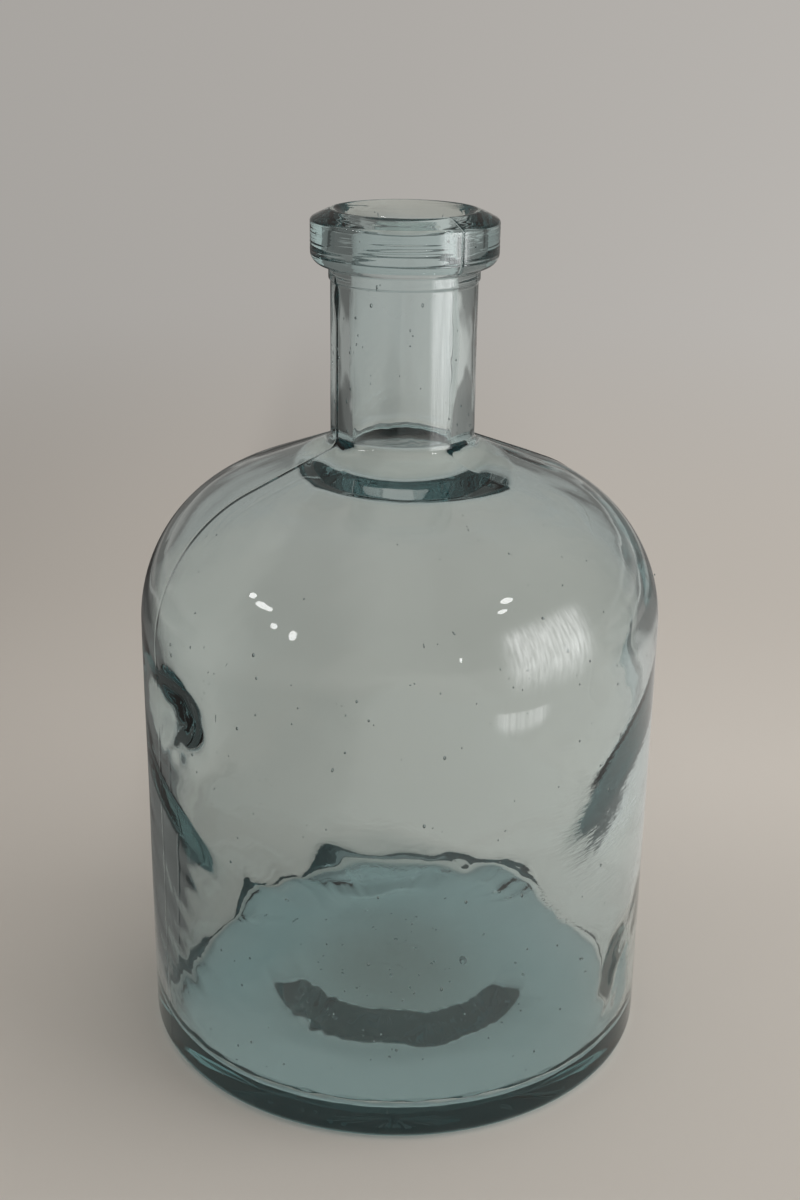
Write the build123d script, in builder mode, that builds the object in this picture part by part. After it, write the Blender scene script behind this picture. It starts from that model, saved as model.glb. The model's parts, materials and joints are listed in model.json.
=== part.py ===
from build123d import *
from math import atan2, cos, tan
import os

# Bottle vase in thick recycled glass: a blown bottle and the lip ring laid round its neck end.
# Millimetres, +Z up. The origin is on the table, in the middle of the foot.

# Body: heights are those of the corners before they are rounded
body_diameter = 172.0
body_height = 183.5
shoulder_rise = 24.8
shoulder_radius = 51.0
heel_radius = 4.0
wall_thickness = 5.5
base_thickness = 8.0
floor_corner_radius = 8.0

# Shallow push-up under the foot, which leaves a flat ring to stand on
push_up_diameter = 80.0
push_up_slope_width = 28.0
push_up_height = 0.6
push_up_foot_radius = 20.0
push_up_crown_radius = 20.0

# Boss in the floor of the cavity, where the glass of the foot is thickest
boss_diameter = 95.0
boss_slope_width = 10.5
boss_height = 7.5
boss_foot_radius = 4.0
boss_crown_radius = 4.0

# Neck, from the shoulder cone to the crest of the mouth
neck_length = 72.7
neck_diameter = 46.4
neck_wall = 6.4
neck_root_radius = 1.5
bore_root_radius = 10.5

# Ledge under the root of the neck, where the shoulder's glass is thick
root_ledge_diameter = 78.0
root_ledge_radius = 8.0

# Mouth: a narrow land on the crest and a flare down into the bore
mouth_land = 1.0
mouth_edge_radius = 0.8
mouth_flare_depth = 9.0
mouth_flare_radius = 8.0

# Bead squeezed out below the lip ring, which the ring sits on
bead_height = 4.0
bead_projection = 0.6
bead_radius = 0.4

# Lip ring round the neck end
collar_projection = 6.3
collar_height = 17.8
collar_top_drop = 1.5
collar_underside_rise = 2.0
collar_upper_radius = 1.2
collar_lower_radius = 2.6

# Radii and heights that follow from the sizes above
body_r = body_diameter / 2
neck_r = neck_diameter / 2
bore_r = neck_r - neck_wall
mouth_r = neck_r - mouth_land
bead_r = neck_r + bead_projection
collar_r = neck_r + collar_projection
push_up_r = push_up_diameter / 2
push_up_crown_r = push_up_r - push_up_slope_width
boss_r = boss_diameter / 2
boss_crown_r = boss_r - boss_slope_width
neck_root_z = body_height + shoulder_rise
crest_z = neck_root_z + neck_length
seat_z = crest_z - collar_height

# The cavity keeps the wall's thickness under the shoulder cone
cavity_r = body_r - wall_thickness
shoulder_angle = atan2(shoulder_rise, body_r - neck_r)
cone_drop = wall_thickness / cos(shoulder_angle)
cavity_corner_z = body_height + wall_thickness * tan(shoulder_angle) - cone_drop
root_ledge_r = root_ledge_diameter / 2
bore_root_z = body_height + (body_r - root_ledge_r) * tan(shoulder_angle) - cone_drop
cavity_shoulder_radius = shoulder_radius - wall_thickness

# The cavity's cutting profile runs this far past the crest
cut_overrun = 5.0


os.makedirs("parts", exist_ok=True)


# Blown bottle: foot, wall, shoulder, neck and bead in one profile, then the cavity
with BuildPart() as bottle_body:
    with BuildSketch(Plane.XZ):
        with BuildLine():
            FilletPolyline(
                (0, push_up_height),
                (push_up_crown_r, push_up_height),
                (push_up_r, 0),
                (body_r, 0),
                (body_r, body_height),
                (neck_r, neck_root_z),
                (neck_r, seat_z - bead_height),
                (bead_r, seat_z - bead_height + bead_projection),
                (bead_r, seat_z),
                (neck_r, seat_z),
                (neck_r, crest_z),
                (0, crest_z),
                radius=(
                    0,
                    push_up_crown_radius,
                    push_up_foot_radius,
                    heel_radius,
                    shoulder_radius,
                    neck_root_radius,
                    bead_radius,
                    bead_radius,
                    0,
                    0,
                    0,
                    0,
                ),
                close=True,
            )
        make_face()
    revolve(axis=Axis.Z)

    with BuildSketch(Plane.XZ):
        with BuildLine():
            FilletPolyline(
                (0, base_thickness + boss_height),
                (boss_crown_r, base_thickness + boss_height),
                (boss_r, base_thickness),
                (cavity_r, base_thickness),
                (cavity_r, cavity_corner_z),
                (root_ledge_r, bore_root_z),
                (bore_r, bore_root_z),
                (bore_r, crest_z - mouth_flare_depth),
                (mouth_r, crest_z),
                (mouth_r, crest_z + cut_overrun),
                (0, crest_z + cut_overrun),
                radius=(
                    0,
                    boss_crown_radius,
                    boss_foot_radius,
                    floor_corner_radius,
                    cavity_shoulder_radius,
                    root_ledge_radius,
                    bore_root_radius,
                    mouth_flare_radius,
                    0,
                    0,
                    0,
                ),
                close=True,
            )
        make_face()
    revolve(axis=Axis.Z, mode=Mode.SUBTRACT)

    crest_edges = bottle_body.edges().group_by(Axis.Z)[-1]
    fillet(crest_edges.sort_by(SortBy.RADIUS)[0], radius=mouth_edge_radius)

# Lip ring: bored to the neck, seated on the bead, its top falling away from the crest
with BuildPart() as lip_collar:
    with BuildSketch(Plane.XZ):
        with BuildLine():
            FilletPolyline(
                (neck_r, seat_z),
                (bead_r, seat_z),
                (collar_r, seat_z + collar_underside_rise),
                (collar_r, crest_z - collar_top_drop),
                (neck_r, crest_z),
                radius=(0, 0, collar_lower_radius, collar_upper_radius, 0),
                close=True,
            )
        make_face()
    revolve(axis=Axis.Z)

bottle_body.part.label = "bottle_body"
export_step(bottle_body.part, "parts/bottle_body.step")

lip_collar.part.label = "lip_collar"
export_step(lip_collar.part, "parts/lip_collar.step")
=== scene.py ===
import json
from math import atan2, cos, pi, radians, sin, tan

import bpy
import numpy as np
from mathutils import Matrix, Vector


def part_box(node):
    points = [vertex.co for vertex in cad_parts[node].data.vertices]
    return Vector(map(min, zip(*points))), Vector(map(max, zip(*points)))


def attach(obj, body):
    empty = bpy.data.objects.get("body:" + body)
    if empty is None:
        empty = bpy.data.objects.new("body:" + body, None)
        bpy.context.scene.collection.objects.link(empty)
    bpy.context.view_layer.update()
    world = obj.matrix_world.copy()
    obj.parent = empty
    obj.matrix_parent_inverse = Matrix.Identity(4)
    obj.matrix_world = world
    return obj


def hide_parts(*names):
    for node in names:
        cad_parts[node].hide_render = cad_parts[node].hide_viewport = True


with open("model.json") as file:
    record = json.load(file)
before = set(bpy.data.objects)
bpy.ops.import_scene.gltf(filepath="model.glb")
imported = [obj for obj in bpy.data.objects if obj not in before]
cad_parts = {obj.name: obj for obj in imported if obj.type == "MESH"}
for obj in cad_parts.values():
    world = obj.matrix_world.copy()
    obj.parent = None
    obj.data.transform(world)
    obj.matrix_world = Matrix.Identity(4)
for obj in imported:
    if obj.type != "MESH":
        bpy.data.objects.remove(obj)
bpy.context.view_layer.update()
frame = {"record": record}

# Bottle vase in thick recycled glass, as one closed skin with bubbles in it, on a pale sheet.
# Metres, +Z up. Round the axis, azimuth 0 faces the camera and grows towards +X.
MM = 0.001

# Sizes read from the frame
_, body_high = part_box("bottle_body")
collar_low, collar_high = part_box("lip_collar")
mounts = {mount["name"]: mount for mount in frame["record"]["mounts"]}
crest_z = body_high.z
body_r = body_high.x
collar_r = collar_high.x
seat_z = collar_low.z
bore_r = mounts["neck_bore"]["dims"]["r_mm"] * MM

# Body and foot
body_height = 183.5 * MM
shoulder_rise = 24.8 * MM
shoulder_radius = 51 * MM
heel_radius = 4 * MM
wall_thickness = 5.5 * MM
base_thickness = 8 * MM
push_up_r = 40 * MM
push_up_slope_width = 28 * MM
push_up_height = 0.6 * MM
push_up_foot_radius = 20 * MM
push_up_crown_radius = 20 * MM

# Boss in the floor of the cavity, which stands back from the front and has an uneven edge
boss_r = 47.5 * MM
boss_slope_width = 10.5 * MM
boss_height = 7.5 * MM
boss_foot_radius = 4 * MM
boss_crown_radius = 4 * MM
boss_setback = 4 * MM
boss_ragged = 0.3 * MM
floor_ragged = 0.5 * MM

# Neck and the bead below the lip ring
neck_r = 23.2 * MM
neck_root_radius = 4 * MM
bore_root_radius = 10.5 * MM
even_root_radius = 12 * MM
root_ledge_radius = 8 * MM
bead_height = 4 * MM
bead_projection = 0.6 * MM
bead_radius = 0.4 * MM

# Lip ring and mouth
seat_radius = 0.3 * MM
collar_edge_drop = 3 * MM
collar_brow_drop = 1.4 * MM
collar_brow_radius = 4 * MM
collar_underside_rise = 2 * MM
collar_upper_radius = 1.2 * MM
collar_lower_radius = 4.4 * MM
crest_radius = 0.8 * MM
mouth_land = 1 * MM
mouth_edge_radius = 0.4 * MM
mouth_brow_width = 2.5 * MM
mouth_brow_depth = 1.8 * MM
mouth_flare_depth = 4.8 * MM
mouth_flare_radius = 4 * MM

# Radii and heights that follow from the sizes above
neck_root_z = body_height + shoulder_rise
bead_r = neck_r + bead_projection
mouth_r = neck_r - mouth_land
crest_r = neck_r - mouth_land / 2
collar_brow_r = (neck_r + collar_r) / 2
cavity_r = body_r - wall_thickness
shoulder_angle = atan2(shoulder_rise, body_r - neck_r)
cone_drop = wall_thickness / cos(shoulder_angle)
cavity_corner_z = body_height + wall_thickness * tan(shoulder_angle) - cone_drop

# The inside by azimuth in degrees: height of the floor near the wall, radius of the corner between
# them, and reach of the ledge under the neck, in mm
FLOOR_AT_WALL = (
    (0, 8), (65, 8), (95, 7), (108, 6), (120, 6), (130, 7), (137, 12), (147, 15), (152, 14),
    (158, 13.5), (166, 17.5), (173, 20.5), (180, 21.5), (193, 22), (199, 21.5), (203, 18),
    (207, 13.5), (211, 9.5), (216, 8.5), (222, 9), (230, 11), (236, 10), (243, 7), (255, 6.5),
    (270, 9), (285, 9), (300, 8.5), (320, 8), (360, 8),
)
FLOOR_CORNER = (
    (0, 7), (60, 7), (80, 5), (92, 3), (110, 2.5), (127, 3), (133, 5), (137, 7.5), (147, 7.5),
    (152, 5), (158, 3.5), (163, 5), (172, 8.5), (180, 11), (193, 12), (199, 10.5), (205, 5),
    (209, 2.5), (220, 3), (228, 4), (232, 10), (236, 3), (246, 2.5), (255, 3), (262, 7), (271, 9),
    (285, 8), (300, 7), (330, 7), (360, 7),
)
ROOT_LEDGE = ((0, 39), (55, 40), (85, 32), (130, 30), (230, 30), (275, 32), (315, 37), (360, 39))

# Degrees from the front, to either side, between which a feature of the inside grows from none to full
BOSS_STEEP = (100, 30)
BOSS_UNEVEN = (64, 46)
FLOOR_UNEVEN = (125, 140)
LEDGE_DEEP = (125, 65)
WRINKLES_DEEP = (100, 130)

# Points along the profiles, half the bend in radians up to which a corner counts as straight, and
# rings of the mesh in each stretch of the inside
ARC_POINTS = 33
STRAIGHT_BEND = 0.005
DENSE_POINTS = 40000
INNER_POINTS = 6000
INNER_RINGS = (60, 30, 60, 100, 110, 40, 18)

# Where the stretches of the inside end: in the neck, past its root, low on the wall and on the floor
upper_neck_z = 255 * MM
lower_neck_z = 225 * MM
shoulder_r = 48 * MM
low_wall_z = 48 * MM
outer_floor_r = 58 * MM
boss_top_r = 30 * MM

# How far apart the rings of the outside are, and how far the close ones reach
body_step = 1.8 * MM
shoulder_step = 1.2 * MM
root_step = 0.5 * MM
bead_step = 0.4 * MM
collar_step = 0.18 * MM
foot_step = 1 * MM
heel_step = 0.7 * MM
root_reach = 5 * MM
foot_top_z = 45 * MM
foot_inner_r = 60 * MM

# Columns of the mesh round the axis, with more of them beside the seams and the collar's join
SEAMS = (radians(-63), radians(117))
COLLAR_JOIN = radians(36)
EVEN_COLUMNS = 360
FINE_COLUMNS = 13
FINE_WIDTH = radians(2)
COLUMN_DECIMALS = 6

# Uneven waves: seed, number of waves, turns round the axis, and wavelengths along it in mm
COLLAR_LINES = (4, 18, (0, 3), (0.7, 2.2))
COLLAR_PATCHES = (5, 6, (1, 5), (8, 20))
BODY_WAVES = (6, 8, (1, 5), (50, 120))
WALL_SLOW = (11, 10, (1, 5), (45, 140))
WALL_MIDDLE = (12, 16, (8, 30), (9, 25))
WALL_FINE = (13, 24, (60, 130), (3.5, 8))
SWELLING_STREAKS = (14, 16, (10, 40), (2.5, 6))
FLOOR_WRINKLES = (15, 30, (20, 60), (1.4, 3.2))
NECK_WAVES = (16, 10, (2, 7), (30, 90))
LUMP_EDGES = (17, 16, (10, 60), (5, 20))
FLOOR_EDGE = (21, 16, (14, 70), (1, 1))

# Relief of the outside
seam_height = 0.06 * MM
crisp_seam_height = 0.2 * MM
crisp_seam_z = (165 * MM, 190 * MM)
seam_width = 0.5 * MM
drip_height = 0.7 * MM
drip_width = 1.3 * MM
drip_length = 4 * MM
drip_z = 255 * MM
tooling_depth = 0.035 * MM
join_depth = 0.25 * MM
join_width = 0.35 * MM
body_wave_depth = 0.06 * MM
WAVE_LEVEL = 1.5
LEAST_BODY_WAVE = 0.8
PATCH_LEVEL = 0.5
PATCH_RANGE = (0.3, 1.2)

# Relief of the inside
slow_wave = 0.3 * MM
middle_wave = 0.04 * MM
fine_wave = 0.004 * MM
neck_wave = 0.12 * MM
neck_wave_fade = 5 * MM
thick_left_height = 2.5 * MM
swelling_height = 3 * MM
swelling_streak = 0.06 * MM
front_wrinkle = 0.04 * MM
rear_wrinkle = 0.12 * MM
wrinkle_rise = 1 * MM
wrinkle_reach = 4 * MM
lump_wander = 0.45 * MM
calm_floor_r = (50 * MM, 75 * MM)
mouth_fade = 3 * mouth_flare_depth
FLOOR_CALM = 0.15
LEAST_SHOULDER_WAVE = 0.25
WRINKLE_CORNER_SHARE = 0.45

# Lumps on the inside of the wall: azimuth in degrees, height, rise, and half the width and height
LUMPS = (
    (-59, 129 * MM, 4.2 * MM, 13 * MM, 9 * MM),
    (63, 36 * MM, 1.2 * MM, 7 * MM, 11 * MM),
)

# Small bubbles: number, radii and heights between which they lie, in mm
SEED_RANDOM = 31
SEED_ZONES = (
    (200, 81.8, 84.8, 20, 165),
    (50, 5, 74, 1.8, 6),
    (14, 5, 34, 6, 13.5),
    (40, 18, 22, 212, 262),
    (16, 24, 28, 269, 277),
)
SEED_SIZES = (0.2, 0.26, 0.34, 0.45)
SEED_STRETCH = (1, 1.6)
SEED_RINGS = 6
SEED_COLUMNS = 10

# Large bubbles in the foot: place and half the width in mm, and how flat they are
LARGE_SEEDS = (
    (-44.6, 46.1, 7.5, 0.9), (-38.6, 25.3, 8.7, 0.7), (-11.8, 29.7, 9.3, 0.6), (1, 11.2, 9.5, 0.9),
    (-17.8, -9.6, 9.5, 0.6), (-26.5, -9.1, 9.4, 0.5), (68.1, 13.9, 5.2, 0.9), (25.5, -0.8, 9.4, 1.5),
)
LARGE_SEED_FLATNESS = 0.8


# Curves and waves

def bump(distance, width):
    """1 at no distance, and falling off smoothly over the width."""
    return np.exp(-(distance / width) ** 2)


def smooth(value, low, high):
    """0 where the value is low, 1 where it is high, and a smooth step between."""
    share = np.clip((value - low) / (high - low), 0, 1)
    return share * share * (3 - 2 * share)


def turn_from(azimuth, other):
    """The angle between two azimuths, from -pi to pi."""
    return (azimuth - other + pi) % (2 * pi) - pi


def by_turn(table, azimuth):
    """The table's size at that azimuth."""
    return np.interp(np.degrees(azimuth), *np.array(table).T) * MM


def by_side(azimuth, bounds):
    """0 as far from the front as the first bound in degrees, 1 as far as the second."""
    none, full = bounds
    return smooth(np.abs(turn_from(azimuth, 0)), radians(none), radians(full))


def ripples(waves, azimuth, height):
    """Smooth uneven waves round the axis and along it, between about -1 and 1."""
    seed, count, turns, wavelengths = waves
    rng = np.random.default_rng(seed)
    field = np.zeros(np.broadcast(azimuth, height).shape)
    for _ in range(count):
        m = rng.integers(turns[0], turns[1] + 1)
        k = 2 * pi / (rng.uniform(*wavelengths) * MM) * rng.choice((-1, 1))
        phase = rng.uniform(0, 2 * pi)
        field += np.cos(m * azimuth + k * height + phase)
    return field / np.sqrt(count)


# Profiles of the glass, as radius and height

def rounded(corners):
    """A run of points along straight stretches whose corners are rounded.

    Each corner is (r, z, radius)."""
    run = [np.array(corners[0][:2])]
    for before, here, after in zip(corners, corners[1:], corners[2:]):
        p, a, b = (np.array(c[:2]) for c in (here, before, after))
        radius = here[2]
        to_a = (a - p) / np.linalg.norm(a - p)
        to_b = (b - p) / np.linalg.norm(b - p)
        half = np.arccos(np.clip(to_a @ to_b, -1, 1)) / 2
        if radius == 0 or half > pi / 2 - STRAIGHT_BEND:
            run.append(p)
            continue
        start = p + to_a * radius / tan(half)
        end = p + to_b * radius / tan(half)
        bisector = (to_a + to_b) / np.linalg.norm(to_a + to_b)
        centre = p + bisector * radius / sin(half)
        first, last = start - centre, end - centre
        sweep = pi - 2 * half
        share = np.linspace(0, 1, ARC_POINTS)[:, None]
        arc = np.sin((1 - share) * sweep) * first + np.sin(share * sweep) * last
        run.extend(centre + arc / sin(sweep))
    run.append(np.array(corners[-1][:2]))
    return np.array(run)


def even_points(run, count):
    """That many points along the run, evenly spaced."""
    lengths = np.concatenate([[0], np.cumsum(np.hypot(*np.diff(run, axis=0).T))])
    even = np.linspace(0, lengths[-1], count)
    return np.column_stack([np.interp(even, lengths, run[:, i]) for i in (0, 1)])


def outer_step(r, z):
    """How far apart the rings of the outside are at that radius and height."""
    step = np.full_like(r, body_step)
    step[z > body_height] = shoulder_step
    step[np.abs(z - neck_root_z) < root_reach] = root_step
    step[z > seat_z - 2 * bead_height] = bead_step
    step[z > seat_z] = collar_step
    step[(z < foot_top_z) & (r > foot_inner_r)] = foot_step
    step[(z < 4 * heel_radius) & (r > body_r - heel_radius)] = heel_step
    return step


def stepped(run):
    """The run at the steps of the outside."""
    dense = even_points(run, DENSE_POINTS)
    steps = np.hypot(*np.diff(dense, axis=0).T) / outer_step(dense[1:, 0], dense[1:, 1])
    density = np.concatenate([[0], np.cumsum(steps)])
    places = np.linspace(0, density[-1], int(density[-1]) + 1)
    return np.column_stack([np.interp(places, density, dense[:, i]) for i in (0, 1)])


def in_stretches(run):
    """The run with the same number of points in each stretch of the inside, whatever the turn."""
    r, z = run.T
    ends = (
        z < upper_neck_z,
        z < lower_neck_z,
        r > shoulder_r,
        z < low_wall_z,
        r < outer_floor_r,
        r < boss_top_r,
    )
    stations = [0]
    for passed in ends:
        stations.append(stations[-1] + int(np.argmax(passed[stations[-1]:])))
    stations.append(len(run) - 1)
    stretches = [
        even_points(run[first:last + 1], count)[:-1]
        for first, last, count in zip(stations, stations[1:], INNER_RINGS)
    ]
    return np.concatenate([*stretches, run[-1:]])


def outer_profile():
    """From under the foot, up the outside, to the crest of the mouth."""
    return stepped(rounded([
        (0, push_up_height, 0),
        (push_up_r - push_up_slope_width, push_up_height, push_up_crown_radius),
        (push_up_r, 0, push_up_foot_radius),
        (body_r, 0, heel_radius),
        (body_r, body_height, shoulder_radius),
        (neck_r, neck_root_z, neck_root_radius),
        (neck_r, seat_z - bead_height, bead_radius),
        (bead_r, seat_z - bead_height + bead_projection, bead_radius),
        (bead_r, seat_z, seat_radius),
        (collar_r, seat_z + collar_underside_rise, collar_lower_radius),
        (collar_r, crest_z - collar_edge_drop, collar_upper_radius),
        (collar_brow_r, crest_z - collar_brow_drop, collar_brow_radius),
        (neck_r, crest_z, crest_radius),
        (crest_r, crest_z, 0),
    ]))


def under_cone(r):
    """Height of the inside of the shoulder cone."""
    return body_height + (body_r - r) * tan(shoulder_angle) - cone_drop


def inner_profile(azimuth):
    """From the crest, down the bore and the inside of the wall, to the middle of the floor.

    The thick glass of the foot and at the root of the neck changes round the axis. In front the
    middle of the floor is a boss with a steep side, and behind the floor rises gently to the wall."""
    uneven = ripples(FLOOR_EDGE, azimuth, 0)
    floor_z = by_turn(FLOOR_AT_WALL, azimuth) + floor_ragged * uneven * by_side(azimuth, FLOOR_UNEVEN)
    corner_radius = by_turn(FLOOR_CORNER, azimuth)
    foot_r = boss_r - boss_setback * cos(azimuth) + boss_ragged * uneven * by_side(azimuth, BOSS_UNEVEN)
    crown_r = foot_r - boss_slope_width
    crown_z = base_thickness + boss_height
    gentle_z = crown_z + (floor_z - crown_z) * boss_slope_width / (cavity_r - crown_r)
    foot_z = gentle_z + (base_thickness - gentle_z) * by_side(azimuth, BOSS_STEEP)
    ledge_r = by_turn(ROOT_LEDGE, azimuth)
    ledge_z = under_cone(ledge_r)
    deep = by_side(azimuth, LEDGE_DEEP)
    root_z = under_cone(bore_r) + (ledge_z - under_cone(bore_r)) * deep
    root_radius = even_root_radius + (bore_root_radius - even_root_radius) * deep
    run = rounded([
        (crest_r, crest_z, 0),
        (mouth_r, crest_z, mouth_edge_radius),
        (bore_r + mouth_brow_width, crest_z - mouth_brow_depth, mouth_flare_radius),
        (bore_r, crest_z - mouth_flare_depth, mouth_flare_radius),
        (bore_r, root_z, root_radius),
        (ledge_r, ledge_z, root_ledge_radius),
        (cavity_r, cavity_corner_z, shoulder_radius - wall_thickness),
        (cavity_r, floor_z, corner_radius),
        (foot_r, foot_z, boss_foot_radius),
        (crown_r, crown_z, boss_crown_radius),
        (0, crown_z, 0),
    ])
    return in_stretches(even_points(run, INNER_POINTS))


# Relief of the glass

def outer_relief(azimuth, r, z):
    """How far the outside stands out: mould seams, a drip, and the collar's tooling lines and join."""
    relief = np.zeros(np.broadcast(azimuth, z).shape)
    on_body = (z < seat_z - bead_height / 2) & (z > heel_radius / 2)
    seam_rise = seam_height + crisp_seam_height * smooth(z, *crisp_seam_z)
    for seam in SEAMS:
        across = turn_from(azimuth, seam) * r
        relief += on_body * seam_rise * bump(across, seam_width)
    across = turn_from(azimuth, SEAMS[0]) * r
    relief += on_body * drip_height * bump(across, drip_width) * bump(z - drip_z, drip_length)

    on_collar = z > seat_z + collar_underside_rise / 2
    lines = np.maximum(WAVE_LEVEL + ripples(COLLAR_LINES, azimuth, z), 0)
    patches = np.clip(PATCH_LEVEL * (1 + ripples(COLLAR_PATCHES, azimuth, z)), *PATCH_RANGE)
    relief -= on_collar * tooling_depth * lines * patches
    across = turn_from(azimuth, COLLAR_JOIN) * r
    relief -= on_collar * join_depth * bump(across, join_width)

    slow = np.maximum(WAVE_LEVEL + ripples(BODY_WAVES, azimuth, z), LEAST_BODY_WAVE)
    relief -= (z < neck_root_z) * body_wave_depth * slow
    return relief


def thick_left(azimuth, z):
    """Thicker glass low on the left, whose upper edge slants down to the front."""
    arc = turn_from(azimuth, radians(-50)) * cavity_r
    slant = 0.4
    top_z = 94 * MM
    top_fade = 11 * MM
    front_end = (26 * MM, -22 * MM)
    rear_end = (-75 * MM, -45 * MM)
    rising = (10 * MM, 75 * MM)
    share = np.clip((top_z - slant * arc - z) / top_fade, 0, 1)
    return thick_left_height * share * smooth(arc, *front_end) * smooth(arc, *rear_end) * smooth(z, *rising)


def swelling_right(azimuth, z):
    """A swelling on the right with a slanting, streaked upper edge."""
    arc = turn_from(azimuth, radians(57)) * cavity_r
    slant = 0.5
    top_z = 124 * MM
    top_fade = 20 * MM
    lower_end = (85 * MM, 15 * MM)
    front_end = (-38 * MM, 12 * MM)
    rear_end = (75 * MM, 45 * MM)
    streak_depth = 10 * MM
    streak_start = (-25 * MM, -5 * MM)
    below = top_z + slant * arc - z
    share = np.clip(below / top_fade, 0, 1) * smooth(below, *lower_end)
    share = share * smooth(arc, *front_end) * smooth(arc, *rear_end)
    streaks = ripples(SWELLING_STREAKS, azimuth, z)
    streaks = streaks * bump(below - streak_depth, streak_depth) * smooth(arc, *streak_start)
    return swelling_height * share + swelling_streak * streaks


def chill_wrinkles(azimuth, z):
    """Wrinkles where the wall meets the floor, deeper behind."""
    corner_z = by_turn(FLOOR_AT_WALL, azimuth) + WRINKLE_CORNER_SHARE * by_turn(FLOOR_CORNER, azimuth)
    depth = front_wrinkle + rear_wrinkle * by_side(azimuth, WRINKLES_DEEP)
    near = bump(z - corner_z - wrinkle_rise, wrinkle_reach)
    return depth * ripples(FLOOR_WRINKLES, azimuth, z) * near


def lumps(azimuth, z):
    """The lumps on the inside of the wall, with wandering edges."""
    wander = lump_wander * ripples(LUMP_EDGES, azimuth, z)
    relief = np.zeros(wander.shape)
    for turn, height, rise, wide, tall in LUMPS:
        across = turn_from(azimuth, radians(turn)) * cavity_r
        relief += rise * bump(across + wander, wide) * bump(z - height + wander, tall)
    return relief


def inner_relief(azimuth, r, z):
    """How far the inside of the wall stands into the cavity, in hand-made unevenness."""
    relief = slow_wave * ripples(WALL_SLOW, azimuth, z)
    relief += middle_wave * ripples(WALL_MIDDLE, azimuth, z)
    relief += fine_wave * ripples(WALL_FINE, azimuth, z)
    relief += thick_left(azimuth, z) + swelling_right(azimuth, z)
    relief += chill_wrinkles(azimuth, z) + lumps(azimuth, z)

    # Calmer on the floor and under the shoulder, and none at the mouth
    on_floor = FLOOR_CALM + (1 - FLOOR_CALM) * smooth(r, *calm_floor_r)
    under_shoulder = np.clip(r / cavity_r, LEAST_SHOULDER_WAVE, 1)
    relief *= np.where(z > cavity_corner_z, under_shoulder, on_floor)
    in_neck = smooth(z, neck_root_z - neck_wave_fade, neck_root_z + neck_wave_fade)
    relief += neck_wave * ripples(NECK_WAVES, azimuth, z) * in_neck
    return relief * np.clip((crest_z - z) / mouth_fade, 0, 1)


# Mesh of the glass

def azimuth_columns():
    """Columns round the axis, close together beside the seams and the collar's join."""
    columns = list(np.linspace(0, 2 * pi, EVEN_COLUMNS, endpoint=False))
    for place in (*SEAMS, COLLAR_JOIN):
        beside = np.linspace(-FINE_WIDTH, FINE_WIDTH, FINE_COLUMNS)
        columns += [(place + x) % (2 * pi) for x in beside]
    return np.unique(np.round(columns, COLUMN_DECIMALS))


def skin_faces(ring_count, column_count):
    """Faces between the rings, and the fans that close the skin under the foot and on the floor.

    The two middle points come after the rings' points."""
    index = np.arange(ring_count * column_count).reshape(ring_count, column_count)
    beside = np.roll(index, -1, axis=1)
    quads = np.stack([index[:-1], beside[:-1], beside[1:], index[1:]], axis=-1).reshape(-1, 4)
    foot_middle = np.full(column_count, index.size)
    floor_middle = np.full(column_count, index.size + 1)
    under = np.stack([foot_middle, beside[0], index[0]], axis=-1)
    floor = np.stack([floor_middle, index[-1], beside[-1]], axis=-1)
    return quads.tolist() + under.tolist() + floor.tolist()


def revolved_glass():
    """One closed skin of glass: the outside, over the mouth, the inside and the floor."""
    azimuth = azimuth_columns()
    outside = np.repeat(outer_profile()[:-1, None], len(azimuth), axis=1)
    inside = np.stack([inner_profile(column) for column in azimuth], axis=1)
    rings = np.concatenate([outside, inside])
    along = np.gradient(rings, axis=0)
    along /= np.linalg.norm(along, axis=2)[:, :, None]

    relief = np.concatenate([
        outer_relief(azimuth, outside[..., 0], outside[..., 1]),
        inner_relief(azimuth, inside[..., 0], inside[..., 1]),
    ])
    r = (rings[..., 0] + relief * along[..., 1])[1:-1]
    z = (rings[..., 1] - relief * along[..., 0])[1:-1]
    points = np.stack([r * np.sin(azimuth), -r * np.cos(azimuth), z], axis=-1)
    middles = [[0, 0, rings[0, 0, 1]], [0, 0, rings[-1, 0, 1]]]
    verts = np.concatenate([points.reshape(-1, 3), middles])
    return verts, skin_faces(*points.shape[:2])


def seeds():
    """Small bubbles in the glass: middles, and half their width and height."""
    rng = np.random.default_rng(SEED_RANDOM)
    found = []
    for count, inner, outer, low, high in SEED_ZONES:
        for _ in range(count):
            r = rng.uniform(inner, outer) * MM
            azimuth = rng.uniform(0, 2 * pi)
            z = rng.uniform(low, high) * MM
            wide = rng.choice(SEED_SIZES) * MM
            tall = wide * rng.uniform(*SEED_STRETCH)
            found.append(((r * sin(azimuth), -r * cos(azimuth), z), wide, tall))
    for x, y, z, size in LARGE_SEEDS:
        wide = size * MM
        found.append(((x * MM, y * MM, z * MM), wide, wide * LARGE_SEED_FLATNESS))
    return found


def seed_skin(middle, wide, tall):
    """A bubble's skin, which faces the air inside it."""
    turns = [2 * pi * k / SEED_COLUMNS for k in range(SEED_COLUMNS)]
    verts = [(0, 0, tall)]
    for ring in range(1, SEED_RINGS):
        polar = pi * ring / SEED_RINGS
        ring_r = wide * sin(polar)
        verts += [(ring_r * cos(turn), ring_r * sin(turn), tall * cos(polar)) for turn in turns]
    verts.append((0, 0, -tall))

    bottom = len(verts) - 1
    lowest_ring = bottom - SEED_COLUMNS
    faces = []
    for k in range(SEED_COLUMNS):
        beside = (k + 1) % SEED_COLUMNS
        faces.append((0, 1 + beside, 1 + k))
        for ring in range(SEED_RINGS - 2):
            upper = 1 + ring * SEED_COLUMNS
            lower = upper + SEED_COLUMNS
            faces.append((upper + k, upper + beside, lower + beside, lower + k))
        faces.append((bottom, lowest_ring + k, lowest_ring + beside))
    return np.array(verts) + np.array(middle), faces


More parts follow.
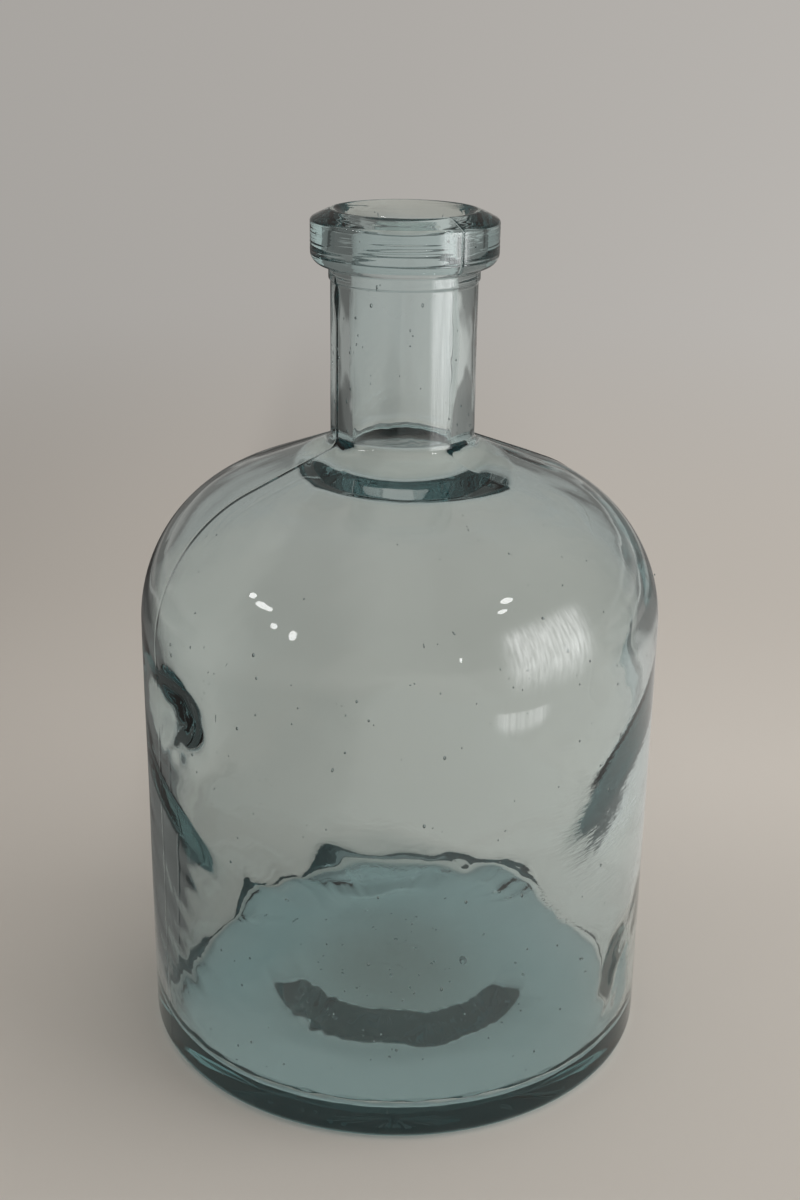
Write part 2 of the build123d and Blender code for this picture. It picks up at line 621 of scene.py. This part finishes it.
def make_vase():
    verts, faces = revolved_glass()
    for seed in seeds():
        skin, seed_faces = seed_skin(*seed)
        faces += [tuple(len(verts) + corner for corner in face) for face in seed_faces]
        verts = np.concatenate([verts, skin])
    mesh = bpy.data.meshes.new("vase_glass")
    mesh.from_pydata(verts.tolist(), [], faces)
    mesh.shade_smooth()
    mesh.materials.append(glass_material())
    vase = bpy.data.objects.new("vase_glass", mesh)
    bpy.context.scene.collection.objects.link(vase)
    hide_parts("bottle_body", "lip_collar")
    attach(vase, "root")


# Node helpers: each adds nodes to a tree and returns the socket that holds their result

def new_material(name):
    material = bpy.data.materials.new(name)
    material.use_nodes = True
    return material, material.node_tree


def computed(tree, kind, operation, result, *values):
    """The result of a maths node. A value is a socket or a plain number or vector."""
    node = tree.nodes.new(kind)
    node.operation = operation
    for socket, value in zip(node.inputs, values):
        if isinstance(value, bpy.types.NodeSocket):
            tree.links.new(value, socket)
        else:
            socket.default_value = value
    return node.outputs[result]


def product(tree, *factors):
    result = factors[0]
    for factor in factors[1:]:
        result = computed(tree, "ShaderNodeMath", "MULTIPLY", "Value", result, factor)
    return result


def larger(tree, first, second):
    return computed(tree, "ShaderNodeMath", "MAXIMUM", "Value", first, second)


def scaled(tree, colour, by):
    """A colour or vector times another, or times a number."""
    return computed(tree, "ShaderNodeVectorMath", "MULTIPLY", "Vector", colour, by)


def length(tree, vector):
    return computed(tree, "ShaderNodeVectorMath", "LENGTH", "Value", vector)


def level_part(tree, vector):
    """The vector without its height."""
    return scaled(tree, vector, (1, 1, 0))


def split(tree, vector):
    node = tree.nodes.new("ShaderNodeSeparateXYZ")
    tree.links.new(vector, node.inputs[0])
    return node.outputs


def mapped(tree, value, low, high, to_low=0, to_high=1, curve="LINEAR"):
    """The value's range from low to high, mapped to another range."""
    node = tree.nodes.new("ShaderNodeMapRange")
    node.interpolation_type = curve
    node.inputs["From Min"].default_value = low
    node.inputs["From Max"].default_value = high
    node.inputs["To Min"].default_value = to_low
    node.inputs["To Max"].default_value = to_high
    tree.links.new(value, node.inputs["Value"])
    return node.outputs["Result"]


def share_between(tree, value, low, high):
    """0 where the value is low, 1 where it is high, and a smooth step between."""
    return mapped(tree, value, low, high, curve="SMOOTHSTEP")


def band(tree, value, start, full, fade, end):
    """1 where the value is between full and fade, 0 before the start and past the end."""
    return product(tree, share_between(tree, value, start, full), share_between(tree, value, end, fade))


def noise(tree, vector, scale, detail):
    node = tree.nodes.new("ShaderNodeTexNoise")
    node.inputs["Scale"].default_value = scale
    node.inputs["Detail"].default_value = detail
    tree.links.new(vector, node.inputs["Vector"])
    return node.outputs["Fac"]


def stretched(tree, vector, scale, turn=0):
    """The vector, turned about Z and scaled, for a texture that runs one way."""
    node = tree.nodes.new("ShaderNodeMapping")
    node.inputs["Scale"].default_value = scale
    node.inputs["Rotation"].default_value = (0, 0, turn)
    tree.links.new(vector, node.inputs["Vector"])
    return node.outputs["Vector"]


def ramp(tree, share, stops, tint):
    """A tint at levels that change with the share. Each stop is (share, level)."""
    node = tree.nodes.new("ShaderNodeValToRGB")
    elements = node.color_ramp.elements
    while len(elements) < len(stops):
        elements.new(0.5)
    for element, (position, level) in zip(elements, stops):
        element.position = position
        element.color = (*(np.array(tint) * level), 1)
    tree.links.new(share, node.inputs["Fac"])
    return node.outputs["Color"]


def mixed_colour(tree, share, first, second):
    node = tree.nodes.new("ShaderNodeMix")
    node.data_type = "RGBA"
    tree.links.new(share, node.inputs["Factor"])
    tree.links.new(first, node.inputs["A"])
    tree.links.new(second, node.inputs["B"])
    return node.outputs["Result"]


def mixed_shader(tree, share, first, second):
    node = tree.nodes.new("ShaderNodeMixShader")
    tree.links.new(share, node.inputs["Fac"])
    tree.links.new(first, node.inputs[1])
    tree.links.new(second, node.inputs[2])
    return node.outputs["Shader"]


def glow(tree, colour, strength=1):
    node = tree.nodes.new("ShaderNodeEmission")
    node.inputs["Strength"].default_value = strength
    tree.links.new(colour, node.inputs["Color"])
    return node.outputs["Emission"]


def dimmed(tree, colour, share, dim):
    """The colour, times the factor dim where the share is 1."""
    return scaled(tree, colour, mapped(tree, share, 0, 1, 1, dim))


# Glass: the colour is in its depth, its skin is faintly uneven, and parts of its inside are streaked
GLASS_TINT = (0.95, 0.994, 1, 1)
GLASS_IOR = 1.52
DEPTH_COLOUR = (0.27, 0.6, 0.63, 1)
DEPTH_DENSITY = 15
SKIN_SCALE = 160
STREAK_SCALE = 170
STREAK_STRETCH = (1, 1, 5)
SKIN_DETAIL = 2
STREAK_HEIGHT = 45
BUMP_STRENGTH = 0.03
bump_distance = 0.2 * MM

# Streaked parts of the inside, each from where the streaks start to where they are full
streaked_r = (cavity_r - 8 * MM, cavity_r - 3 * MM, body_r - 3 * MM, body_r - 2 * MM)
streaked_behind_y = (0, 30 * MM)
streaked_behind_z = (45 * MM, 25 * MM)
streaked_right_x = (40 * MM, 60 * MM)
streaked_right_y = (30 * MM, 0)
streaked_right_z = (55 * MM, 80 * MM, 115 * MM, 140 * MM)


def streaked_part(tree, place):
    """1 where the inside is streaked: low down behind, and along the swelling on the right."""
    x, y, z = split(tree, place)
    radius = length(tree, level_part(tree, place))
    inside = band(tree, radius, *streaked_r)
    behind = product(
        tree,
        share_between(tree, y, *streaked_behind_y),
        share_between(tree, z, *streaked_behind_z),
    )
    right = product(
        tree,
        share_between(tree, x, *streaked_right_x),
        share_between(tree, y, *streaked_right_y),
        band(tree, z, *streaked_right_z),
    )
    return product(tree, larger(tree, behind, right), inside)


def uneven_skin(tree):
    """The normal of the glass's skin."""
    place = tree.nodes.new("ShaderNodeTexCoord").outputs["Object"]
    skin = noise(tree, place, SKIN_SCALE, SKIN_DETAIL)
    streaks = noise(tree, stretched(tree, place, STREAK_STRETCH), STREAK_SCALE, SKIN_DETAIL)
    streaks = product(tree, streaked_part(tree, place), streaks)
    height = computed(tree, "ShaderNodeMath", "MULTIPLY_ADD", "Value", streaks, STREAK_HEIGHT, skin)
    relief = tree.nodes.new("ShaderNodeBump")
    relief.inputs["Strength"].default_value = BUMP_STRENGTH
    relief.inputs["Distance"].default_value = bump_distance
    tree.links.new(height, relief.inputs["Height"])
    return relief.outputs["Normal"]


def glass_material():
    """Pale sea-green glass."""
    material, tree = new_material("sea_green_glass")
    shader = tree.nodes["Principled BSDF"]
    shader.inputs["Base Color"].default_value = GLASS_TINT
    shader.inputs["Roughness"].default_value = 0
    shader.inputs["IOR"].default_value = GLASS_IOR
    shader.inputs["Transmission Weight"].default_value = 1
    tree.links.new(uneven_skin(tree), shader.inputs["Normal"])
    depth = tree.nodes.new("ShaderNodeVolumeAbsorption")
    depth.inputs["Color"].default_value = DEPTH_COLOUR
    depth.inputs["Density"].default_value = DEPTH_DENSITY
    tree.links.new(depth.outputs["Volume"], tree.nodes["Material Output"].inputs["Volume"])
    return material


# Stage: a pale sheet under and behind the vase, brighter towards the window on the right.
# What the glass mirrors is the room beyond the sheet, dimmer on the left and above.
PALE = (1, 0.955, 0.9)
WHITE = (1, 1, 1)
THROUGH_GLASS = (0.62, 0.92, 0.95)

# Tones from left to right, from level to straight up, and by how often the glass has mirrored the light
SHEET_TONE = ((0.2, 0.35), (0.5, 0.42), (0.7, 0.5), (0.85, 0.62), (1, 0.7))
ROOM_TONE = ((0, 0.3), (0.3, 0.33), (0.5, 0.4), (0.6, 0.46), (0.8, 0.54), (1, 0.6))
UPPER_TONE = ((0, 0.4), (0.06, 0.2), (0.3, 0.19), (0.6, 0.21), (0.8, 0.35), (1, 0.4))
UPPER_START = (0.01, 0.1)
MIRROR_TONE = ((0, 1), (0.1, 1), (0.2, 0.95), (0.3, 0.26), (0.5, 0.26), (0.75, 0.24), (0.9, 0.8))
MIRROR_COUNT = 10
SHEET_LIGHT = 1.25


def side_tone(tree, vector, stops):
    """A tone that changes from left to right as the direction from the vase does."""
    flat = level_part(tree, vector)
    unit = computed(tree, "ShaderNodeVectorMath", "NORMALIZE", "Vector", flat)
    return ramp(tree, mapped(tree, split(tree, unit)["X"], -1, 1), stops, PALE)


def mirror_depth(tree):
    """How often the glass has mirrored the light, and 1 unless the sheet has scattered it."""
    path = tree.nodes.new("ShaderNodeLightPath")
    return path.outputs["Glossy Depth"], share_between(tree, path.outputs["Diffuse Depth"], 1, 0)


def mirrored(tree):
    """1 for what the glass mirrors on the way to the eye, otherwise 0."""
    depth, direct = mirror_depth(tree)
    return product(tree, share_between(tree, depth, 0, 1), direct)


def mirror_tone(tree):
    """White, fainter the more often the glass has mirrored the light."""
    share = mapped(tree, product(tree, *mirror_depth(tree)), 0, MIRROR_COUNT)
    return ramp(tree, share, MIRROR_TONE, WHITE)


def fainter(tree, colour):
    """The colour, fainter the more often the glass has mirrored it."""
    return scaled(tree, colour, mirror_tone(tree))


def make_world():
    """The pale backdrop, and the room that the glass mirrors."""
    world = bpy.data.worlds.new("room")
    bpy.context.scene.world = world
    world.use_nodes = True
    tree = world.node_tree
    place = tree.nodes.new("ShaderNodeTexCoord").outputs["Generated"]
    height = split(tree, place)["Z"]
    level_room = side_tone(tree, place, ROOM_TONE)
    upper_room = ramp(tree, height, UPPER_TONE, PALE)
    room = mixed_colour(tree, share_between(tree, height, *UPPER_START), level_room, upper_room)
    backdrop = side_tone(tree, place, SHEET_TONE)
    seen = mixed_colour(tree, mirrored(tree), backdrop, fainter(tree, room))
    bounced = tree.nodes.new("ShaderNodeLightPath").outputs["Diffuse Depth"]
    background = tree.nodes["Background"]
    tree.links.new(seen, background.inputs["Color"])
    tree.links.new(mapped(tree, bounced, 0, 1, 1, SHEET_LIGHT), background.inputs["Strength"])


# Sheet: its size, its tones, and the places in metres where a tone starts and where it is full
SHEET_HALF = 40
AIR_GAP = 0.2 * MM
PAPER_ROUGHNESS = 0.9
PAPER_SPECULAR = 0.1
# The paper's tone rises to a painted pool of light under the vase's foot
PAPER_TONE_WITH_PAINTED_POOL = ((0, 0.68), (1, 0.95))
GATHERED_TONE = ((0, 0), (1, 0.1))
PAINTED_POOL_UNDER_FOOT = (0.09, 0.07)
GATHERED_RING = (0.005, 0.06, 0.078, 0.088)
# Where painted shade darkens the sheet on the left, behind and in a band behind on the left, and where
# painted light lifts it behind on the right
LEFT_SIDE = (-0.12, -0.35)
BACK = (0.1, 0.45)
NEAR_BACK = (0.04, 0.2)
RIGHT_SIDE = (0.02, 0.15)
LEFT_BAND = (-0.13, -0.09, -0.06, 0)
BACKDROP_START = (0.35, 1.4)
ROOM_START = (0.13, 0.2)
ROOM_BESIDE = (-0.085, -0.12)
ROOM_LEFT = (-0.6, -0.4, -0.12, -0.085)
ROOM_BEHIND = (0.02, 0.15)
ROOM_NEAR = (0.42, 0.55, 0.9, 1)
ROOM_FAR = (1.2, 1.5)

# Factors of painted shade and painted light on the sheet's colour, and on the mirrored room
PAINTED_SHADE_LEFT = 0.86
PAINTED_SHADE_BEHIND = 0.9
PAINTED_LIGHT_RIGHT = 1.13
PAINTED_SHADE_BAND = 0.84
ROOM_DIM = 0.45


def paper(tree, x, y, reach):
    """The sheet's colour with painted light and shade: palest under the vase, as a painted pool of light;
    dimmer on the left and behind, and in a band behind on the left, as painted shade; and lifted behind on
    the right, as painted light.
    """
    near_back = share_between(tree, y, *NEAR_BACK)
    colour = ramp(tree, share_between(tree, reach, *PAINTED_POOL_UNDER_FOOT), PAPER_TONE_WITH_PAINTED_POOL, PALE)
    # Painted shade on the left, behind and in a band behind on the left, and painted light behind on the
    # right
    patches = (
        (share_between(tree, x, *LEFT_SIDE), PAINTED_SHADE_LEFT),
        (share_between(tree, y, *BACK), PAINTED_SHADE_BEHIND),
        (product(tree, near_back, share_between(tree, x, *RIGHT_SIDE)), PAINTED_LIGHT_RIGHT),
        (product(tree, near_back, band(tree, x, *LEFT_BAND)), PAINTED_SHADE_BAND),
    )
    for share, dim in patches:
        colour = dimmed(tree, colour, share, dim)
    return colour


def mirrored_room(tree, place, x, y, reach):
    """The room that the glass mirrors where the sheet lies, dimmer on the left and in bands behind."""
    behind = share_between(tree, y, *ROOM_BEHIND)
    colour = side_tone(tree, place, ROOM_TONE)
    patches = (
        band(tree, x, *ROOM_LEFT),
        product(tree, behind, band(tree, reach, *ROOM_NEAR)),
        product(tree, behind, share_between(tree, reach, *ROOM_FAR)),
    )
    for share in patches:
        colour = dimmed(tree, colour, share, ROOM_DIM)
    return colour


def sheet_material():
    """Matt paper that goes over into the backdrop, with the light that the foot gathers on it."""
    material, tree = new_material("sheet")
    place = tree.nodes.new("ShaderNodeTexCoord").outputs["Object"]
    reach = length(tree, place)
    x, y, _ = split(tree, place)
    shader = tree.nodes["Principled BSDF"]
    shader.inputs["Roughness"].default_value = PAPER_ROUGHNESS
    shader.inputs["Specular IOR Level"].default_value = PAPER_SPECULAR
    shader.inputs["Emission Strength"].default_value = 1
    tree.links.new(fainter(tree, paper(tree, x, y, reach)), shader.inputs["Base Color"])
    gathered = ramp(tree, band(tree, reach, *GATHERED_RING), GATHERED_TONE, THROUGH_GLASS)
    tree.links.new(fainter(tree, gathered), shader.inputs["Emission Color"])

    sheet = shader.outputs["BSDF"]
    backdrop = glow(tree, side_tone(tree, place, SHEET_TONE))
    seen = mixed_shader(tree, share_between(tree, reach, *BACKDROP_START), sheet, backdrop)
    room = glow(tree, fainter(tree, mirrored_room(tree, place, x, y, reach)))
    away = larger(tree, share_between(tree, reach, *ROOM_START), share_between(tree, x, *ROOM_BESIDE))
    beyond = mixed_shader(tree, away, sheet, room)
    result = mixed_shader(tree, mirrored(tree), seen, beyond)
    tree.links.new(result, tree.nodes["Material Output"].inputs["Surface"])
    return material


def rectangle(name, half_width, half_height, z=0):
    """A flat mesh of one face."""
    signs = ((-1, -1), (1, -1), (1, 1), (-1, 1))
    mesh = bpy.data.meshes.new(name)
    mesh.from_pydata([(sx * half_width, sy * half_height, z) for sx, sy in signs], [], [(0, 1, 2, 3)])
    return mesh


def make_sheet():
    mesh = rectangle("sheet", SHEET_HALF, SHEET_HALF, -AIR_GAP)
    mesh.materials.append(sheet_material())
    sheet = bpy.data.objects.new("sheet", mesh)
    bpy.context.scene.collection.objects.link(sheet)


# Window: azimuth, elevation, distance and size of its light
WINDOW_AIM = (78, 14, 1.3)
WINDOW_SIZE = (1.2, 0.9)
WINDOW_POWER = 6.5
WINDOW_COLOUR = (1, 0.99, 0.97)
VASE_MIDDLE = Vector((0, 0, 0.15))

# Panes that the glass mirrors: azimuth and elevation in degrees, distance, half the width and half
# the height in metres, and strength. Their edges are soft up to shares of those halves.
PANES = ((62, 4, 0.42, 0.21, 0.2, 7.5), (47.5, -20, 0.324, 0.085, 0.009, 5))
PANE_LEFT_SHARE = -0.5
PANE_RIGHT_SHARE = 0.4
PANE_TOP_SHARE = 0.5
FOLD_STRETCH = (60, 9, 1)
FOLD_TURN = radians(20)
FOLD_SCALE = 1.5
FOLD_DETAIL = 4
FOLD_NOISE = (0.3, 0.65)
FOLD_DARKEST = 0.25

# Lamps: azimuth and elevation in degrees, half the width and half the height in metres
LAMPS = (
    (-67, 29, 0.06, 0.03), (-63, 29, 0.03, 0.025), (-75, 31, 0.03, 0.03), (-46, 19, 0.03, 0.055),
    (-56, 21, 0.03, 0.03), (57, 40, 0.05, 0.03), (51, 35, 0.04, 0.02), (25, 11, 0.012, 0.03),
)
LAMP_DISTANCE = 1
LAMP_STRENGTH = 12
LAMP_CORNERS = 24
LAMP_MIDDLE = Vector((0, 0, 0.17))


def aimed(azimuth, elevation, distance, target):
    """A place seen from the target at that azimuth and elevation in degrees, and the turn that faces it."""
    around, above = radians(azimuth), radians(elevation)
    out = Vector((sin(around) * cos(above), -cos(around) * cos(above), sin(above)))
    return target + out * distance, (-out).to_track_quat("-Z", "Y").to_euler()


def mirrored_only(name, mesh, aim):
    """A stage piece that shows only in what the glass mirrors."""
    piece = bpy.data.objects.new(name, mesh)
    piece.location, piece.rotation_euler = aim
    piece.visible_camera = False
    piece.visible_diffuse = False
    piece.visible_transmission = False
    piece.visible_shadow = False
    bpy.context.scene.collection.objects.link(piece)


def make_window():
    """Daylight from the right."""
    lamp = bpy.data.lights.new("window", "AREA")
    lamp.shape = "RECTANGLE"
    lamp.size, lamp.size_y = WINDOW_SIZE
    lamp.energy = WINDOW_POWER
    lamp.color = WINDOW_COLOUR
    window = bpy.data.objects.new("window", lamp)
    window.location, window.rotation_euler = aimed(*WINDOW_AIM, VASE_MIDDLE)
    window.visible_camera = False
    window.visible_glossy = False
    window.visible_transmission = False
    bpy.context.scene.collection.objects.link(window)


def pane_material(wide, high, strength):
    """A bright pane with soft edges and the folds of a curtain."""
    material, tree = new_material("pane")
    where = tree.nodes.new("ShaderNodeTexCoord").outputs["Object"]
    x, y, _ = split(tree, where)
    across = band(tree, x, -wide, PANE_LEFT_SHARE * wide, PANE_RIGHT_SHARE * wide, wide)
    upward = band(tree, y, -high, 0, PANE_TOP_SHARE * high, high)
    soft = product(tree, across, upward)
    folds = noise(tree, stretched(tree, where, FOLD_STRETCH, FOLD_TURN), FOLD_SCALE, FOLD_DETAIL)
    folds = mapped(tree, folds, *FOLD_NOISE, FOLD_DARKEST, 1)
    bright = glow(tree, fainter(tree, product(tree, folds, soft)), strength)
    clear = tree.nodes.new("ShaderNodeBsdfTransparent").outputs["BSDF"]
    result = mixed_shader(tree, soft, clear, bright)
    tree.links.new(result, tree.nodes["Material Output"].inputs["Surface"])
    return material


def make_panes():
    """The curtained panes that show as reflections on the right."""
    for azimuth, elevation, distance, wide, high, strength in PANES:
        mesh = rectangle("pane", wide, high)
        mesh.materials.append(pane_material(wide, high, strength))
        mirrored_only("pane", mesh, aimed(azimuth, elevation, distance, VASE_MIDDLE))


def make_lamps():
    """Small lamps in the room, which show as spots on the shoulder."""
    material, tree = new_material("lamp")
    bright = glow(tree, mirror_tone(tree), LAMP_STRENGTH)
    tree.links.new(bright, tree.nodes["Material Output"].inputs["Surface"])
    turns = np.linspace(0, 2 * pi, LAMP_CORNERS, endpoint=False)
    for azimuth, elevation, wide, high in LAMPS:
        mesh = bpy.data.meshes.new("lamp")
        corners = [(wide * cos(turn), high * sin(turn), 0) for turn in turns]
        mesh.from_pydata(corners, [], [tuple(range(LAMP_CORNERS))])
        mesh.materials.append(material)
        mirrored_only("lamp", mesh, aimed(azimuth, elevation, LAMP_DISTANCE, LAMP_MIDDLE))


# Camera of the photograph, fitted to the outlines of the vase: angles in radians, place in metres
CAMERA_PLACE = (0, -0.5228, 0.3485)
CAMERA_PITCH = 0.3593
CAMERA_ROLL = 0.0139
SENSOR_WIDTH = 36
FOCAL_LENGTH = 49.98


def make_camera():
    data = bpy.data.cameras.new("camera")
    data.sensor_width = SENSOR_WIDTH
    data.lens = FOCAL_LENGTH
    camera = bpy.data.objects.new("camera", data)
    forward = Vector((0, cos(CAMERA_PITCH), -sin(CAMERA_PITCH)))
    right = Vector((1, 0, 0))
    up = right.cross(forward)
    across = right * cos(CAMERA_ROLL) + up * sin(CAMERA_ROLL)
    upward = up * cos(CAMERA_ROLL) - right * sin(CAMERA_ROLL)
    turn = Matrix((across, upward, -forward)).transposed().to_4x4()
    camera.matrix_world = Matrix.Translation(CAMERA_PLACE) @ turn
    bpy.context.scene.collection.objects.link(camera)
    bpy.context.scene.camera = camera


make_vase()
make_world()
make_sheet()
make_window()
make_panes()
make_lamps()
make_camera()

# Light goes through many walls of glass before it ends
scene = bpy.context.scene
scene.view_settings.view_transform = "Standard"
scene.cycles.max_bounces = 32
scene.cycles.transmission_bounces = 32
scene.cycles.glossy_bounces = 16
